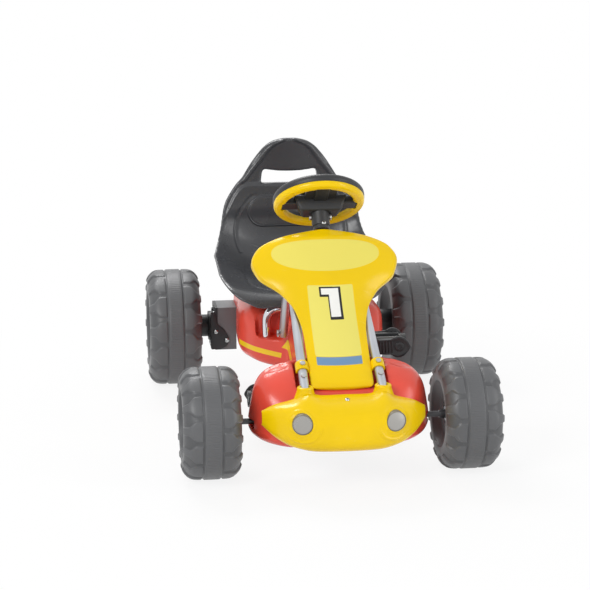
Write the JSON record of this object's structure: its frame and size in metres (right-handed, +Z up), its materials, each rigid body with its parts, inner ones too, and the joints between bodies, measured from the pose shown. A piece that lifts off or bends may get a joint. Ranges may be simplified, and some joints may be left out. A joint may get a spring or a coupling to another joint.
{
  "type": "pedal go kart",
  "caption": "Child's ride-on kart with a bucket seat, steered front wheels, and pedals that drive the rear axle by a chain.",
  "frame": {"origin": "centre of the footprint on the ground", "axes": "+Z up, -Y forward, +X to the driver's left"},
  "size_m": [0.5858, 0.828, 0.4848],
  "materials": {
    "red_body": "glossy moulded red",
    "yellow_cover": "glossy moulded yellow",
    "lamp_silver": "bright reflector",
    "charcoal_seat": "satin charcoal",
    "grey_trim": "satin grey",
    "tyre_plastic": "matt moulded grey",
    "black_plastic": "satin black",
    "silver_tube": "silver lacquer",
    "chrome_tube": "polished",
    "cap_silver": "bright satin",
    "dark_steel": "dark grey paint",
    "black_steel": "black paint",
    "zinc_steel": "bright zinc"
  },
  "bodies": {
    "chassis": {"body_shell": "red_body", "hood": "yellow_cover", "bumper": "yellow_cover", "headlamp_left": "lamp_silver", "headlamp_right": "lamp_silver", "hood_screws": "zinc_steel", "hoop_tube_left": "silver_tube", "hoop_tube_right": "silver_tube", "hoop_cross_tube": "silver_tube", "hoop_bolts": "zinc_steel", "seat": "charcoal_seat", "seat_hoop": "chrome_tube", "seat_bolts": "zinc_steel", "front_beam": "dark_steel", "beam_bolts": "zinc_steel", "kingpins": "zinc_steel", "lower_column_bush": "black_plastic", "upper_column_bush": "black_plastic", "rear_bracket_left": "black_steel", "rear_bracket_right": "black_steel", "bearing_block_left": "black_plastic", "bearing_block_right": "black_plastic", "bracket_bolts": "zinc_steel", "crank_bushes": "black_plastic", "chain": "zinc_steel"},
    "steering": {"steering_shaft": "zinc_steel", "drop_arm": "dark_steel", "steering_wheel": "black_plastic", "steering_ring": "yellow_cover", "steering_pad": "grey_trim", "steering_bolt": "zinc_steel"},
    "knuckle_left": {"knuckle_left": "dark_steel", "front_nut_left": "zinc_steel"},
    "knuckle_right": {"knuckle_right": "dark_steel", "front_nut_right": "zinc_steel"},
    "tie_rod_left": {"tie_rod_left": "zinc_steel"},
    "tie_rod_right": {"tie_rod_right": "zinc_steel"},
    "front_wheel_left": {"front_wheel_left": "tyre_plastic", "front_cap_left": "cap_silver"},
    "front_wheel_right": {"front_wheel_right": "tyre_plastic", "front_cap_right": "cap_silver"},
    "rear_axle": {"rear_axle": "zinc_steel", "rear_spacers": "black_plastic", "drive_pin": "zinc_steel", "rear_sprocket": "dark_steel", "rear_wheel_left": "tyre_plastic", "rear_cap_left": "cap_silver", "axle_nuts": "zinc_steel"},
    "rear_wheel_right": {"rear_wheel_right": "tyre_plastic", "rear_cap_right": "cap_silver"},
    "crank": {"crank_shaft": "dark_steel", "chainring": "dark_steel", "pedal_nuts": "zinc_steel"},
    "pedal_left": {"pedal_left": "black_plastic"},
    "pedal_right": {"pedal_right": "black_plastic"}
  },
  "joints": [
    {"name": "steering_turn", "type": "hinge", "parent": "chassis", "child": "steering", "pos_m": [0, -0.283, 0.121], "axis": [0, 0.6018, 0.7986], "range_deg": [-30, 30]},
    {"name": "knuckle_left_turn", "type": "hinge", "parent": "chassis", "child": "knuckle_left", "pos_m": [0.116, -0.291, 0.095], "axis": [0, 0, 1], "range_deg": [-20, 20]},
    {"name": "tie_rod_left_turn", "type": "hinge", "parent": "knuckle_left", "child": "tie_rod_left", "pos_m": [0.116, -0.321, 0.1016], "axis": [0, 0, 1], "range_deg": [-20, 20]},
    {"name": "front_wheel_left_spin", "type": "hinge", "parent": "knuckle_left", "child": "front_wheel_left", "pos_m": [0.219, -0.291, 0.095], "axis": [1, 0, 0], "continuous": true},
    {"name": "knuckle_right_turn", "type": "hinge", "parent": "chassis", "child": "knuckle_right", "pos_m": [-0.116, -0.291, 0.095], "axis": [0, 0, 1], "range_deg": [-20, 20]},
    {"name": "tie_rod_right_turn", "type": "hinge", "parent": "knuckle_right", "child": "tie_rod_right", "pos_m": [-0.116, -0.321, 0.1016], "axis": [0, 0, 1], "range_deg": [-20, 20]},
    {"name": "front_wheel_right_spin", "type": "hinge", "parent": "knuckle_right", "child": "front_wheel_right", "pos_m": [-0.219, -0.291, 0.095], "axis": [1, 0, 0], "continuous": true},
    {"name": "rear_axle_spin", "type": "hinge", "parent": "chassis", "child": "rear_axle", "pos_m": [0, 0.299, 0.115], "axis": [1, 0, 0], "continuous": true},
    {"name": "rear_wheel_right_spin", "type": "hinge", "parent": "rear_axle", "child": "rear_wheel_right", "pos_m": [-0.241, 0.299, 0.115], "axis": [1, 0, 0], "continuous": true},
    {"name": "crank_spin", "type": "hinge", "parent": "chassis", "child": "crank", "pos_m": [0, -0.136, 0.134], "axis": [1, 0, 0], "continuous": true},
    {"name": "pedal_left_spin", "type": "hinge", "parent": "crank", "child": "pedal_left", "pos_m": [0.106, -0.19288, 0.19717], "axis": [1, 0, 0], "continuous": true},
    {"name": "pedal_right_spin", "type": "hinge", "parent": "crank", "child": "pedal_right", "pos_m": [-0.106, -0.07912, 0.07083], "axis": [1, 0, 0], "continuous": true}
  ],
  "couplings": [
    {"joint": "knuckle_left_turn", "follows": "steering_turn", "ratio": 0.66667},
    {"joint": "knuckle_right_turn", "follows": "steering_turn", "ratio": 0.66667},
    {"joint": "tie_rod_left_turn", "follows": "steering_turn", "ratio": -0.66667},
    {"joint": "tie_rod_right_turn", "follows": "steering_turn", "ratio": -0.66667},
    {"joint": "crank_spin", "follows": "rear_axle_spin", "ratio": 0.66667}
  ]
}
